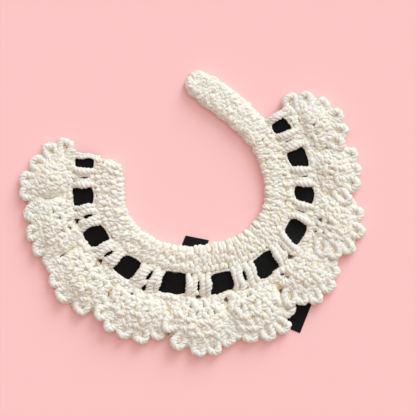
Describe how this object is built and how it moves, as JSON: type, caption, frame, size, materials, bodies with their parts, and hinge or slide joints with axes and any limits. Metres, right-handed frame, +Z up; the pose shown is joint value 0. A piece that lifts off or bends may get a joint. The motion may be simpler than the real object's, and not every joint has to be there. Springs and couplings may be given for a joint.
{
  "type": "crochet pet collar",
  "caption": "Flat-lying crochet pet collar in cream cotton: C-shaped neck band with a strap, eyelets with a black ribbon woven through, and a scalloped edge of domed shells with picot loops.",
  "frame": {"origin": "centre of the whole collar's bounding box, on the surface that it lies on", "axes": "+Z up out of the surface, +X to the right and +Y towards the strap's tip, seen from above; the neck opening's axis is parallel to Z"},
  "size_m": [0.2073, 0.1725, 0.0087],
  "materials": {
    "cotton_yarn": "cream cotton yarn, matt, crocheted",
    "black_ribbon": "black satin ribbon, soft sheen"
  },
  "bodies": {
    "root": {"neck_band": "cotton_yarn", "post_01_a": "cotton_yarn", "post_01_b": "cotton_yarn", "post_02_a": "cotton_yarn", "post_02_b": "cotton_yarn", "post_03_a": "cotton_yarn", "post_03_b": "cotton_yarn", "post_04_a": "cotton_yarn", "post_04_b": "cotton_yarn", "post_05_a": "cotton_yarn", "post_05_b": "cotton_yarn", "post_06_a": "cotton_yarn", "post_06_b": "cotton_yarn", "post_07_a": "cotton_yarn", "post_07_b": "cotton_yarn", "post_08_a": "cotton_yarn", "post_08_b": "cotton_yarn", "post_09_a": "cotton_yarn", "post_09_b": "cotton_yarn", "post_10_a": "cotton_yarn", "post_10_b": "cotton_yarn", "end_post_right": "cotton_yarn", "end_post_left": "cotton_yarn", "under_post_01": "cotton_yarn", "under_post_02": "cotton_yarn", "under_post_03": "cotton_yarn", "under_post_04": "cotton_yarn", "under_post_05": "cotton_yarn", "under_post_06": "cotton_yarn", "under_post_07": "cotton_yarn", "under_post_08": "cotton_yarn", "under_post_09": "cotton_yarn", "under_post_10": "cotton_yarn", "under_post_11": "cotton_yarn", "shell_rail": "cotton_yarn", "shell_01": "cotton_yarn", "shell_02": "cotton_yarn", "shell_03": "cotton_yarn", "shell_04": "cotton_yarn", "shell_05": "cotton_yarn", "shell_06": "cotton_yarn", "shell_07": "cotton_yarn", "shell_08": "cotton_yarn", "shell_09": "cotton_yarn", "shell_10": "cotton_yarn", "ribbon_woven": "black_ribbon", "ribbon_tail_left": "black_ribbon", "ribbon_tail_right": "black_ribbon"}
  },
  "joints": []
}
